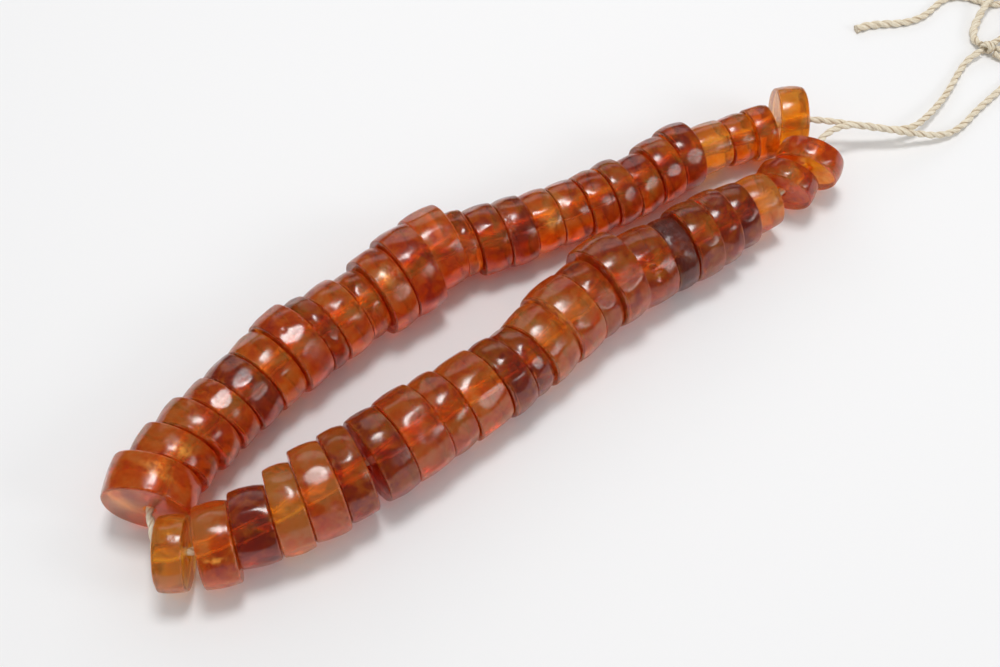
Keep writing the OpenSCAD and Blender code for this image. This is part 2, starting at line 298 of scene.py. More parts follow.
# piece, node, route, far end, first turn of the plies, thickness along it
CORDS = [
    ("back_lead_twine", "back_lead", BACK_LEAD, "knot", 0.4, even),
    ("front_lead_twine", "front_lead", FRONT_LEAD, "knot", 1.3, even),
    ("bow_loop_twine", "bow_loop", BOW_LOOP, "object", 0.0, loose_loop),
    ("tail_twine", "tail", TAIL, "bare", 2.0, loose_end),
]
for name, node, route, far_end, phase, thick in CORDS:
    obj, path, length = twine(name, route, phase, thick=thick)
    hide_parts(node)
    print(name, round(length * 1000, 1), "mm,", len(obj.data.polygons), "faces")

# %% [markdown]
# ## Where each bead lies
#
# Each bead was measured in the picture: its thickness along the hole, its diameter, and the turn
# of its hole. The beads are then set down one after another along the middle line of their run,
# each as far on as its joint asks, so they touch as they do on the real string.

# %% Bead tables
# thickness, diameter, turn, lean, step to the left, open space before it, in mm and degrees
BACK_BEADS = [
    (10.2, 23.2, 46, 0, 1.0, 0), (8.3, 21.6, 37, 0, 0, 0), (7.7, 21.8, 29, 0, 0, 0),
    (6.8, 21.0, 24, 0, 0, 0), (8.4, 21.0, 20, 0, 0, 0), (8.0, 21.6, 17, 0, 0, 0),
    (8.8, 23.6, 15, 0, 0, 0), (5.4, 22.2, 12, 0, 0, 0), (8.3, 21.6, 9, 0, 0, 0),
    (6.2, 19.6, 6, 0, 0.4, 0), (7.8, 23.4, 3, 0, 0.4, 0), (9.3, 24.6, 2, 0, 0.4, 0),
    (9.8, 23.0, -2, 0, 2, 0), (5.0, 19.0, -7, 0, 0.4, 0), (8.0, 19.6, -11, 0, 0, 0),
    (7.8, 19.4, -10, 0, 0, 0), (7.9, 17.8, -10, 0, 0, 0), (8.0, 17.8, -9, 0, 0, 0),
    (7.3, 18.8, -6, 0, 0, 0), (6.4, 19.4, -2, 0, 0, 0), (7.7, 17.8, 0, 0, -0.4, 0),
    (7.6, 19.2, -3, 0, 0, 0), (7.7, 19.6, -7, 0, 0.3, 0), (10.6, 14.8, -9, 0, 0, 0),
    (7.5, 14.8, -11, 0, 0, 0), (6.6, 16.0, -19, 0, 0, 0), (8.2, 19.4, -33, 0, 0.4, 1.9),
]
FRONT_BEADS = [
    (7.0, 18.8, -34, 0, -0.5, 0), (8.7, 20.8, -23, 0, -0.8, 2.1), (9.4, 19.8, -20, 0, 0, 0),
    (7.4, 22.6, -16, 0, 0, 0), (8.5, 24.2, -12, 0, 0, 0), (7.4, 23.8, -8, 0, 0, 0),
    (8.2, 23.6, -1, 0, 0, 1.6), (9.9, 23.8, 3, 0, 0, 0), (7.8, 22.6, 6, 0, 0, 0),
    (10.4, 22.2, 7, 0, 0, 0), (7.0, 21.8, 8, 0, 0, 0), (5.8, 20.4, 13, 0, 0, 0),
    (9.2, 21.6, 15, 0, 0, 0), (9.8, 23.2, 11, 0, 0.4, 0), (7.2, 22.4, 8, 0, 0, 0),
    (9.4, 25.2, 3, 0, 0.6, 0), (10.8, 21.8, -5, 0, 0, 0), (6.8, 20.8, -7, 0, 0, 0),
    (7.8, 22.0, -6, 0, 0, 0), (7.2, 21.4, -6, 0, 0.3, 0), (7.3, 19.0, -9, 0, 0.4, 0),
    (8.6, 16.6, -7, 0, 0, 0), (6.1, 18.0, 27, 11, -0.3, 4.2), (6.6, 19.4, 29, 14, -0.6, 2.8),
]
# routes of the two runs and of the turn at the fold, in mm
BACK_ROUTE = [
    (-102.6, 7, 11), (-95, 14, 11), (-88, 17, 11), (-72, 21, 11), (-55, 25.5, 11), (-40, 27, 11),
    (-22, 27, 11), (-8, 28.5, 11), (2, 29, 10.5), (14, 25, 10), (30, 22, 9.5), (45, 19, 9),
    (60, 17.5, 9), (76, 17.5, 9), (88, 15, 8), (98, 11.5, 8.5), (106, 10, 9.5), (118, 6, 10),
]
FRONT_ROUTE = [
    (-106, -4, 10.5), (-98, -8, 11), (-90, -10.5, 11), (-72, -12.5, 11), (-50, -13, 11.5),
    (-28, -12, 11), (-10, -12, 11), (5, -9.5, 11), (20, -6.5, 11), (32, -6, 11), (48, -7.5, 10.5),
    (65, -8, 10), (82, -7.5, 9.5), (90, -6.8, 9.5), (100, -5, 9.5), (110, -2, 10),
]
FOLD_ROUTE = [
    (-102.3, 6.8, 11.8), (-103.4, 4.6, 11.5), (-104.3, 2.2, 11.2), (-105.4, -0.6, 10.9),
    (-106.3, -2.4, 10.8), (-106.4, -3.6, 10.7),
]
print(len(BACK_BEADS), "beads in the back run and", len(FRONT_BEADS), "in the front run")

# %% [markdown]
# ## Placing rule
#
# The rule is the same as in the CAD model, so each finished bead lies exactly where its plain
# body does. Neighbours that touch are set a hair's breadth apart, and a leaning bead is lifted
# until its lowest rim rests on the surface.

# %% Placing rule
BEAD_GAP = 0.2


def on_route(route, s):
    """The point at distance s along the route, seen from above, and the route's heading there."""
    for i, (a, b) in enumerate(zip(route, route[1:])):
        leg = math.hypot(b[0] - a[0], b[1] - a[1])
        if s <= leg or i == len(route) - 2:
            return Vector(a).lerp(Vector(b), s / leg), math.atan2(b[1] - a[1], b[0] - a[0])
        s -= leg


def middle_at(bead, route, s):
    """The middle of a bead at distance s along the route."""
    thick, dia, _, lean, side, _ = bead
    rest = dia / 2 * math.cos(math.radians(lean)) + thick / 2 * math.sin(abs(math.radians(lean)))
    p, h = on_route(route, s)
    return Vector((p.x - side * math.sin(h), p.y + side * math.cos(h), max(rest, p.z)))


def place_beads(beads, route):
    """The middles of a run's beads, each found by a few steps towards the right distance."""
    s = beads[0][0] / 2
    middles = [middle_at(beads[0], route, s)]
    for last, bead in zip(beads, beads[1:]):
        turn = math.radians((last[2] + bead[2]) / 2)
        across = Vector((math.cos(turn), math.sin(turn), 0))
        apart = (last[0] + bead[0]) / 2 + BEAD_GAP + bead[5]
        s += apart
        for _ in range(4):
            s += apart - (middle_at(bead, route, s) - middles[-1]).dot(across)
        middles.append(middle_at(bead, route, s))
    return middles


def skew(beads, i, other):
    """Turn of a bead's face against its own hole, in degrees."""
    if not 0 <= other < len(beads) or beads[max(i, other)][5] > 0:
        return 0.0
    return (beads[other][2] - beads[i][2]) / 2


def pose(bead, middle):
    """The bead's own axes: x along the hole, y to the left, z up."""
    turn = Matrix.Rotation(math.radians(bead[2]), 4, "Z") @ Matrix.Rotation(-math.radians(bead[3]), 4, "Y")
    return Matrix.Translation(middle) @ turn


RUNS = {}
for run, beads, route, first, last in [
    ("back", BACK_BEADS, BACK_ROUTE, FOLD_ROUTE[0], BACK_LEAD[0]),
    ("front", FRONT_BEADS, FRONT_ROUTE, FOLD_ROUTE[-1], FRONT_LEAD[0]),
]:
    poses = [pose(b, m) for b, m in zip(beads, place_beads(beads, route))]
    ends = [(p @ Vector((-b[0] / 2, 0, 0)), p @ Vector((b[0] / 2, 0, 0))) for b, p in zip(beads, poses)]
    holes = [Vector(first), *[(a[1] + b[0]) / 2 for a, b in zip(ends, ends[1:])], Vector(last)]
    RUNS[run] = (beads, poses, holes)
    print(run, "run:", len(beads), "beads, last middle", [round(c, 1) for c in poses[-1].translation])

# %% [markdown]
# ## Thread
#
# The same twine runs through every bead. It shows at the fold and in the open joints by the bow.

# %% Thread
through = [*reversed(RUNS["back"][2]), *[Vector(p) for p in FOLD_ROUTE[1:-1]], *RUNS["front"][2]]
thread, _, thread_length = twine("thread_twine", through, step=0.5)
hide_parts("thread")
print("thread", round(thread_length * 1000), "mm,", len(thread.data.polygons), "faces")

# %% [markdown]
# ## Flats and dents
#
# A hand-filed bead keeps flat places along its side, and falls have knocked round dents into
# some. Both are measured in the picture. Angles go round the hole from straight up towards the
# viewer, in degrees.

# %% Flats and dents
# bead, angle, depth
FLATS = {
    "back": [
        (4, 14, 0.4), (5, 9, 0.4), (5, 40, 0.4), (7, 52, 0.3), (11, 44, 0.3), (13, 20, 0.5), (13, 53, 0.5),
        (14, 45, 0.3), (15, 34, 0.4), (21, -13, 0.4), (22, 42, 0.3), (23, 45, 0.4),
    ],
    "front": [
        (3, -14, 0.5), (3, 18, 0.5), (3, 49, 0.5), (3, 80, 0.5), (5, 11, 0.3), (11, 26, 0.4), (12, 41, 0.3),
        (15, 35, 0.6), (16, 35, 0.6), (18, 16, 0.4), (20, -7, 0.4), (21, 35, 0.3),
    ],
}
# bead, place along the hole, angle, radius of the dent's ball, depth
DENTS = {
    "back": [(7, -1.7, 4, 2.6, 0.5)],
    "front": [
        (5, 1.7, 54, 1.5, 0.5), (8, -0.7, 39, 4.2, 0.5), (17, -1.8, 27, 3.0, 0.7), (17, -0.8, 51, 3.4, 0.8),
    ],
}
print(sum(map(len, FLATS.values())), "measured flats and", sum(map(len, DENTS.values())), "dents")

# %% [markdown]
# ## Shades and marks
#
# Each bead has its own shade, from clear honey to black cherry. Marks are soft patches on it: frost
# is scratched and pale and partly a painted highlight, glow is clear amber and partly painted light
# shining through, dark is the old crust and partly painted shade, milk is a cloud in the amber,
# chip is a pale break, craze is a net of fine cracks, glint is a painted reflection of the lamp in a
# flat crack inside, pit is a rough sunken place and sheen is a satin one with a painted pale sheen.
# They could be painted as a picture, but a table of places keeps them sharp at any size and easy to
# move.

# %% Shades and marks
# shade from 0 for clear honey to 1 for black cherry
SHADES = {
    "back": [
        0.35, 0.42, 0.40, 0.42, 0.72, 0.35, 0.42, 0.62, 0.38, 0.45, 0.45, 0.55, 0.50, 0.48, 0.58, 0.66,
        0.50, 0.55, 0.52, 0.52, 0.55, 0.55, 0.60, 0.20, 0.50, 0.42, 0.05,
    ],
    "front": [
        0.10, 0.30, 0.76, 0.15, 0.35, 0.60, 0.65, 0.42, 0.42, 0.35, 0.68, 0.66, 0.30, 0.35, 0.50, 0.52,
        0.50, 0.88, 0.58, 0.62, 0.72, 0.25, 0.50, 0.42,
    ],
}
KINDS = ["frost", "glow", "dark", "milk", "chip", "craze", "glint", "pit", "sheen"]
# bead, kind, place along the hole, angle, reach along, reach across, strength
MARKS = {
    "back": [
        (1, "glint", -0.5, 22, 0.7, 3.0, 0.5), (1, "glint", 1.6, 15, 1.0, 3.4, 0.4),
        (2, "glint", -1.3, 23, 1.6, 2.4, 0.6), (2, "dark", -4.4, 6, 1.2, 3.0, 0.4),
        (3, "dark", -2.1, 50, 2.0, 3.0, 0.3), (4, "frost", -1.2, 41, 1.6, 2.4, 0.25),
        (5, "frost", -2.3, 10, 1.6, 2.4, 0.3), (5, "frost", -0.2, 39, 2.6, 2.6, 0.3),
        (6, "glow", 1.0, 60, 2.6, 3.0, 0.5), (7, "frost", 0.9, 52, 2.4, 3.2, 0.9),
        (7, "dark", -2.6, -12, 2.6, 3.0, 0.4), (9, "glow", 1.4, 36, 1.4, 2.6, 0.6),
        (10, "glow", 1.0, 30, 1.2, 5.0, 0.5), (11, "glint", -1.2, 17, 1.0, 1.7, 1.0),
        (11, "glow", -1.0, 18, 2.4, 2.6, 0.9), (11, "craze", 1.5, 20, 2.0, 3.0, 0.8),
        (11, "frost", 0.9, 44, 2.4, 2.6, 0.3), (12, "dark", 0.0, 75, 4.0, 5.0, 0.4),
        (13, "glow", -3.8, 30, 1.4, 9.0, 1.0), (13, "sheen", 0.4, 36, 3.0, 5.0, 1.0),
        (14, "frost", -0.8, 45, 1.6, 3.0, 0.4), (14, "glow", 1.6, 62, 1.2, 3.0, 0.6),
        (15, "glow", -1.0, 30, 1.6, 3.0, 0.5), (15, "frost", 2.1, 34, 2.0, 3.0, 0.3),
        (16, "pit", -2.8, 40, 1.0, 9.0, 1.0), (16, "frost", 2.2, 49, 1.2, 5.0, 0.3),
        (17, "glow", 0.6, 31, 2.4, 3.4, 1.0), (17, "glint", 0.8, 44, 1.8, 1.8, 0.5),
        (18, "glow", -3.0, 16, 1.6, 7.0, 1.0), (20, "sheen", 0, 30, 4.0, 6.0, 1.0),
        (21, "dark", -1.8, -13, 4.0, 3.4, 0.8), (21, "glow", 0.4, 50, 3.2, 3.4, 0.8),
        (23, "dark", 1.6, -20, 3.0, 4.0, 0.4), (23, "frost", -1.1, 45, 2.6, 2.4, 0.3),
        (24, "craze", 0, 30, 4.0, 5.0, 0.7), (24, "glow", 0, 40, 4.0, 5.0, 0.6),
        (25, "glow", 0.6, 48, 2.0, 3.0, 0.7), (26, "glow", -0.2, 40, 2.0, 3.4, 0.8),
    ],
    "front": [
        (1, "chip", 1.4, 3, 0.8, 0.8, 0.8), (1, "glint", 0.4, -6, 0.7, 0.5, 0.6),
        (1, "glow", 1.0, 50, 3.0, 5.0, 0.7), (2, "glow", -2.0, 10, 2.4, 5.0, 0.7),
        (2, "glint", -0.5, 47, 2.6, 0.8, 0.7), (2, "dark", 0, 66, 4.0, 5.0, 0.7),
        (3, "glow", -1.0, 32, 3.0, 1.8, 0.7), (3, "dark", 0, 50, 4.0, 2.6, 0.5),
        (4, "glow", 0, 40, 2.0, 4.0, 0.5), (5, "sheen", 0, 11, 3.4, 3.4, 1.0),
        (5, "frost", 0, 11, 3.0, 3.0, 0.25),
        (5, "glow", -1.0, 34, 3.0, 2.6, 0.7), (5, "chip", 1.7, 54, 1.6, 1.6, 0.9),
        (6, "chip", -1.9, -34, 1.0, 1.6, 0.7), (6, "chip", 2.3, -2, 0.9, 1.2, 0.7),
        (8, "chip", 1.0, 1, 1.6, 1.2, 0.4), (8, "frost", -0.7, 39, 2.6, 3.0, 0.6),
        (9, "glow", 1.0, 50, 2.6, 3.0, 0.6), (10, "glow", -3.0, 24, 2.0, 5.0, 0.6),
        (12, "dark", 2.6, 10, 2.0, 6.0, 0.4), (13, "glow", -2.0, 5, 3.0, 5.0, 0.8),
        (13, "glow", 2.0, 50, 2.4, 3.4, 0.7), (14, "glow", -2.4, 0, 2.6, 5.0, 0.8),
        (14, "glint", -5.2, 22, 0.7, 6.0, 0.5), (14, "chip", -5.2, 22, 0.8, 9.0, 0.6),
        (15, "frost", -1.2, 35, 2.4, 4.0, 0.4), (16, "frost", -1.3, 35, 3.2, 4.2, 0.4),
        (17, "glint", -1.8, 27, 0.7, 0.7, 0.6), (17, "glint", -0.8, 51, 0.8, 0.8, 0.6),
        (18, "pit", -1.4, 0, 4.0, 7.0, 1.0), (18, "dark", -1.0, -10, 4.0, 5.0, 0.4),
        (19, "glow", 1.4, 52, 1.6, 3.0, 0.6), (20, "chip", 0.5, -7, 1.6, 1.2, 0.6),
        (22, "craze", -0.2, 33, 3.4, 4.0, 1.0), (22, "glow", 0, 30, 3.4, 5.0, 0.7),
        (22, "frost", -0.2, 33, 3.0, 3.6, 0.3), (23, "glow", -1.4, 11, 2.0, 2.4, 0.9),
    ],
}
# bead, kind, face, distance from the hole's middle, angle, reach, strength
FACE_MARKS = {
    "back": [
        (1, "frost", -1, 6.0, 170, 9.0, 1.0), (1, "frost", -1, 7.0, -90, 6.0, 0.8),
        (1, "milk", -1, 6.0, -80, 3.6, 0.9), (1, "glow", -1, 1.8, -60, 2.2, 1.0),
        (27, "frost", -1, 6.0, -60, 6.0, 0.5), (27, "frost", -1, 6.0, 160, 6.0, 0.5),
    ],
    "front": [
        (23, "glow", -1, 6.8, 148, 2.4, 0.9), (23, "glow", -1, 7.6, 9, 2.0, 0.9),
        (24, "glow", -1, 7.0, -170, 6.0, 0.9), (24, "glow", -1, 7.0, 10, 6.0, 0.9),
    ],
}
print(sum(map(len, MARKS.values())), "marks on sides and", sum(map(len, FACE_MARKS.values())), "on faces")

# %% [markdown]
# ## The turned bead
#
# A bead is turned: half of its outline is spun round the hole. The outline goes round the whole
# cross-section, bore included, so the bead is a closed ring. A cylinder with a hole cut through it
# would do too, but a spun outline has even faces, soft rims and a slight crown from the start.

# %% The turned bead
AROUND = 112
RIM_FROM, RIM_TO = 0.45, 0.8
CROWN = 0.4
BORE = 3.0
BORE_EDGE = 0.12
# Rings on a face: two near the bore and the last before the rim, in mm from them
BY_BORE, OFF_BORE, BY_RIM = 0.45, 1.6, 0.5
RIM_STEPS = 8


def outline(thick, r, near_rim, far_rim):
    """Place along the hole and radius, all round the bead's cross-section."""
    bore, half, edge = BORE / 2, thick / 2, r - CROWN
    pts = [(x, bore) for x in np.linspace(half - 0.5, -half + 0.5, 4)]
    pts += [(-half + BORE_EDGE, bore + BORE_EDGE), (-half, bore + BY_BORE)]
    pts += [(-half, q) for q in np.linspace(bore + OFF_BORE, edge - near_rim - BY_RIM, 6)]
    for a in np.linspace(0, 90, RIM_STEPS):
        a = math.radians(a)
        pts.append((-half + near_rim * (1 - math.cos(a)), edge - near_rim * (1 - math.sin(a))))
    start, end = -half + near_rim, half - far_rim
    for t in np.linspace(-1, 1, 15)[1:-1]:
        pts.append(((start + end) / 2 + t * (end - start) / 2, r - CROWN * t * t))
    for a in np.linspace(90, 0, RIM_STEPS):
        a = math.radians(a)
        pts.append((half - far_rim * (1 - math.cos(a)), edge - far_rim * (1 - math.sin(a))))
    pts += [(half, q) for q in np.linspace(edge - far_rim - BY_RIM, bore + OFF_BORE, 6)]
    pts += [(half, bore + BY_BORE), (half - BORE_EDGE, bore + BORE_EDGE)]
    return pts


def spun(name, pts):
    """The mesh of the outline spun round the hole."""
    bm = bmesh.new()
    verts = [bm.verts.new((x, 0, q)) for x, q in pts]
    edges = [bm.edges.new((a, b)) for a, b in zip(verts, [*verts[1:], verts[0]])]
    whole_turn = {"angle": 2 * math.pi, "steps": AROUND, "use_merge": True}
    bmesh.ops.spin(bm, geom=verts + edges, axis=(1, 0, 0), cent=(0, 0, 0), **whole_turn)
    bmesh.ops.recalc_face_normals(bm, faces=bm.faces)
    mesh = bpy.data.meshes.new(name)
    bm.to_mesh(mesh)
    bm.free()
    return mesh


print("a bead has", len(outline(8, 10, RIM_TO, RIM_TO)) * AROUND, "points")

# %% [markdown]
# ## Wear
#
# A hand-made bead is a little out of round, and its side keeps the flats of the file. A flat is
# pressed in with a soft edge, as wear leaves it, and a dent is what a ball would push in. Besides
# the measured flats, each bead gets slight ones all round, because no side of it is true.

# %% Wear
# Heights of the slow waves, the slanted ones and the ripples, and the side's mean loss, in mm
SLOW, SLANTED, RIPPLE, LOSS = 0.09, 0.05, 0.009, 0.12
RIPPLES = 14
# Depths of a slight flat in mm, and how far it keeps from a measured one, in degrees
SLIGHT = (0.12, 0.42)
KEEPS_OFF = 16


def outward(angle, tilt=0.0):
    """The direction at an angle round the hole, tipped along the hole by tilt degrees."""
    a, t = math.radians(angle), math.radians(tilt)
    return np.array([math.sin(t), -math.sin(a) * math.cos(t), math.cos(a) * math.cos(t)])


def unround(co, rng, r, along, outer):
    """Makes the side wavy: slow waves round the hole, slanted ones, and small ripples."""
    angle = np.arctan2(-co[:, 1], co[:, 2])
    wave = sum(rng.uniform(-SLOW, SLOW) * np.cos(k * angle + rng.uniform(0, 6.3)) for k in (2, 3, 4, 5))
    wave += sum(
        rng.uniform(-SLANTED, SLANTED) * np.cos(k * angle + 1.7 * along + rng.uniform(0, 6.3))
        for k in (5, 7, 9)
    )
    for _ in range(RIPPLES):
        heading = np.array([rng.gauss(0, 1) for _ in range(3)])
        ripple = heading / np.linalg.norm(heading) * 2 * math.pi / rng.uniform(2.8, 6.5)
        wave += RIPPLE * np.cos(co @ ripple + rng.uniform(0, 6.3))
    co[:, 1:] *= (1 + outer * (wave - LOSS) / r)[:, None]


def press(co, normal, limit, soft=0.06):
    """Flattens what stands out beyond a plane."""
    over = co @ normal - limit
    co -= np.where(over > -1, soft * np.logaddexp(0, over / soft), 0)[:, None] * normal


def dent(co, centre, radius, give=0.9):
    """Pushes the surface out of a ball, towards the bead's middle."""
    into = np.clip(radius - np.linalg.norm(co - centre, axis=1), 0, None)
    co += into[:, None] * (-centre / np.linalg.norm(centre)) * give


def wear(co, rng, r, flats, dents):
    """The measured flats, slight ones between them all round, and the dents."""
    for a, depth in flats:
        press(co, outward(a), r - depth)
    a = rng.uniform(0, 40)
    while a < 360:
        if all(abs((a - m + 180) % 360 - 180) > KEEPS_OFF for m, _ in flats):
            press(co, outward(a, rng.uniform(-5, 5)), r - rng.uniform(*SLIGHT))
        a += rng.uniform(20, 38)
    for x, a, ball, depth in dents:
        dent(co, outward(a) * (r - depth + ball) + np.array([x, 0, 0]), ball)


print("a flat at 0 degrees faces", outward(0).round(2), "and one at 90 degrees", outward(90).round(2))

# %% [markdown]
# ## Fitting a bead to its neighbours
#
# On the string the worn faces lie flat on each other although the run bends, so each bead is a
# slight wedge. The hole follows the twine, which doesn't pass exactly through every middle. Each
# mark is laid over the finished shape as a soft patch.

# %% Fitting
FACE_REACH = 1.5


def wedge(co, u, near, far):
    """Turns the two faces, by angles in degrees, to meet the neighbours' faces."""
    near, far = math.radians(near), math.radians(far)
    co[:, 0] -= co[:, 1] * (math.tan(near) * (1 - u) / 2 + math.tan(far) * (1 + u) / 2)


def hole_shift(bead, to_world, a, b, side):
    """How far the twine's line passes from the middle of a face, in the bead's own axes."""
    inverse = to_world.inverted()
    a, b = inverse @ a, inverse @ b
    t = (side * bead[0] / 2 - a.x) / (b.x - a.x)
    p = a.lerp(b, min(1.3, max(-0.3, t)))
    return np.array([0, p.y, p.z])


def mark_values(co, run, number, thick, r):
    """How strongly each kind of mark shows at each point."""
    marks = np.zeros((len(co), len(KINDS)))
    rows = [
        (kind, x, r, a, reach_x, reach, much)
        for bead, kind, x, a, reach_x, reach, much in MARKS[run] if bead == number
    ]
    rows += [
        (kind, side * thick / 2, q, a, FACE_REACH, reach, much)
        for bead, kind, side, q, a, reach, much in FACE_MARKS[run] if bead == number
    ]
    for kind, x, q, a, reach_x, reach, much in rows:
        d = co - (outward(a) * q + np.array([x, 0, 0]))
        near_it = np.exp(-((d[:, 0] / reach_x) ** 2) - (d[:, 1] ** 2 + d[:, 2] ** 2) / reach**2)
        k = KINDS.index(kind)
        marks[:, k] = np.maximum(marks[:, k], much * near_it)
    return marks


def keep_values(mesh, values):
    """Writes each list of values to the mesh as an attribute."""
    for name, value in values.items():
        kind, field = ("FLOAT_VECTOR", "vector") if value.ndim == 2 else ("FLOAT", "value")
        attribute = mesh.attributes.new(name, kind, "POINT")
        attribute.data.foreach_set(field, value.astype(np.float32).ravel())


turns = [abs(skew(BACK_BEADS, i, i + 1)) for i in range(len(BACK_BEADS) - 1)]
print("the widest wedge of the back run turns a face by", max(turns), "degrees")

# %% [markdown]
# ## The beads
#
# Every bead is made alike, from its row in the tables and its own seeded random numbers, and lands
# in its place with the mesh itself, so the piece stays at the origin.

# %% The beads
# How far inside the sharp corner the rounded rim lies, in mm
RIM_INSIDE = 0.4


def bead_piece(run, i):
    """One finished bead."""
    beads, poses, holes = RUNS[run]
    bead, to_world = beads[i], poses[i]
    thick, r = bead[0], bead[1] / 2
    rng = random.Random(f"{run}{i}")
    rims = rng.uniform(RIM_FROM, RIM_TO), rng.uniform(RIM_FROM, RIM_TO)
    mesh = spun(f"bead_{run}_{i + 1:02d}", outline(thick, r, *rims))
    co = np.empty(len(mesh.vertices) * 3)
    mesh.vertices.foreach_get("co", co)
    co = co.reshape(-1, 3)
    # Shares from the bore to the side, and values that are 1 on the rims
    radius = np.hypot(co[:, 1], co[:, 2])
    outer = np.clip((radius - BORE / 2) / (r - CROWN - BORE / 2), 0, 1)
    from_edge = np.hypot(np.abs(co[:, 0]) - thick / 2, radius - (r - CROWN))
    rim = np.clip(1 - np.abs(from_edge - RIM_INSIDE), 0, 1)
    unround(co, rng, r, co[:, 0] / (thick / 2), outer)
    flats = [(a, depth) for number, a, depth in FLATS[run] if number == i + 1]
    dents = [row[1:] for row in DENTS[run] if row[0] == i + 1]
    wear(co, rng, r, flats, dents)
    u = co[:, 0] / (thick / 2)
    wedge(co, u, skew(beads, i, i - 1), skew(beads, i, i + 1))
    ahead, behind = [hole_shift(bead, to_world, holes[i], holes[i + 1], side) for side in (1, -1)]
    share = ((u + 1) / 2)[:, None]
    co += (1 - outer)[:, None] * (share * ahead + (1 - share) * behind)
    marks = mark_values(co, run, i + 1, thick, r)
    values = {"bead_xyz": co, "marks_a": marks[:, :3], "marks_b": marks[:, 3:6], "marks_c": marks[:, 6:]}
    values |= {"shade": np.full(len(co), SHADES[run][i]), "rim": rim}
    values |= {"seed": np.full(len(co), rng.uniform(0, 50))}
    keep_values(mesh, values)
    mesh.vertices.foreach_set("co", co.astype(np.float32).ravel())
    mesh.transform(Matrix.Scale(MM, 4) @ Matrix.Translation(-ORIGIN) @ to_world)
    mesh.shade_smooth()
    obj = link(mesh.name, mesh)
    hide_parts(f"beads_{run}_run")
    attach(obj, "root")
    return obj


BEAD_PIECES = [bead_piece(run, i) for run in RUNS for i in range(len(RUNS[run][0]))]
print(len(BEAD_PIECES), "beads,", sum(len(o.data.polygons) for o in BEAD_PIECES) * 2, "triangles")

# %% [markdown]
# ## Node helpers
#
# A finish is a net of small nodes: noises, ramps and sums. These short helpers add and wire them,
# for the amber and for the linen, so that a finish reads like a few lines of sums.

# %% Node helpers
class Net:
    """Short ways to add nodes to one node tree."""

    def __init__(self, tree):
        self.tree = tree

    def wire(self, value, socket):
        if isinstance(value, bpy.types.NodeSocket):
            self.tree.links.new(value, socket)
        else:
            socket.default_value = value

    def add(self, kind, **settings):
        node = self.tree.nodes.new(kind)
        for key, value in settings.items():
            setattr(node, key, value)
        return node

    def math(self, op, a, b=0.0):
        node = self.add("ShaderNodeMath", operation=op)
        self.wire(a, node.inputs[0])
        self.wire(b, node.inputs[1])
        return node.outputs[0]

    def plus(self, a, b):
        return self.math("ADD", a, b)

    def times(self, a, b):
        return self.math("MULTIPLY", a, b)

    def ramp(self, value, low, high, to_low=0.0, to_high=1.0):
        """A soft step from to_low to to_high while the value goes from low to high."""
        node = self.add("ShaderNodeMapRange", interpolation_type="SMOOTHSTEP")
        for item, socket in zip((value, low, high, to_low, to_high), node.inputs):
            self.wire(item, socket)
        return node.outputs[0]

    def colours(self, value, stops):
        """A colour band with a list of places and colours."""
        node = self.add("ShaderNodeValToRGB")
        self.wire(value, node.inputs[0])
        band = node.color_ramp.elements
        band[0].position, band[0].color = stops[0]
        band[1].position, band[1].color = stops[-1]
        for position, colour in stops[1:-1]:
            band.new(position).color = colour
        return node.outputs[0]

    def mix(self, share, a, b):
        node = self.add("ShaderNodeMix", data_type="RGBA")
        self.wire(share, node.inputs[0])
        self.wire(a, node.inputs[6])
        self.wire(b, node.inputs[7])
        return node.outputs[2]

    def layers(self, colour, rows):
        """Lays colours over each other: each row is a mask, its strength and its colour."""
        for mask, strength, tint in rows:
            colour = self.mix(self.times(mask, strength), colour, (*tint, 1))
        return colour

    def sums(self, value, rows):
        """Adds masks to a value, each row a mask and how much of it."""
        for mask, much in rows:
            value = self.plus(value, self.times(mask, much))
        return value

    def noise(self, vector, scale, detail=2.0, rough=0.5, distortion=0.0):
        node = self.add("ShaderNodeTexNoise")
        self.wire(vector, node.inputs["Vector"])
        settings = {"Scale": scale, "Detail": detail, "Roughness": rough, "Distortion": distortion}
        for label, value in settings.items():
            self.wire(value, node.inputs[label])
        return node.outputs["Fac"]

    def attribute(self, name, output):
        return self.add("ShaderNodeAttribute", attribute_name=name).outputs[output]

    def stretch(self, vector, scale):
        node = self.add("ShaderNodeMapping")
        self.wire(vector, node.inputs["Vector"])
        node.inputs["Scale"].default_value = scale
        return node.outputs[0]

    def split(self, vector):
        node = self.add("ShaderNodeSeparateXYZ")
        self.wire(vector, node.inputs[0])
        return node.outputs

    def offset(self, vector, amount):
        node = self.add("ShaderNodeVectorMath", operation="ADD")
        self.wire(vector, node.inputs[0])
        self.wire(amount, node.inputs[1])
        return node.outputs[0]


print("node helpers:", ", ".join(name for name in vars(Net) if not name.startswith("_")))

# %% [markdown]
# ## The crust on old amber
#
# Old amber darkens from outside: a red-brown crust lies over clear honey, and where the crust is
# thin, worn or chipped the clear amber shines through. So one number, the depth of the crust, is
# summed up from the bead's shade, soft clouds and marks, and a band of colours turns it into
# honey, orange, russet and cherry. Of the marks in that sum, glow is partly painted light and dark
# is partly painted shade.

# %% The crust
CRUST = [
    (0.0, (1.0, 0.76, 0.18, 1)), (0.2, (1.0, 0.58, 0.08, 1)), (0.42, (0.97, 0.40, 0.04, 1)),
    (0.62, (0.80, 0.26, 0.04, 1)), (0.82, (0.58, 0.17, 0.06, 1)), (1.0, (0.42, 0.12, 0.07, 1)),
]


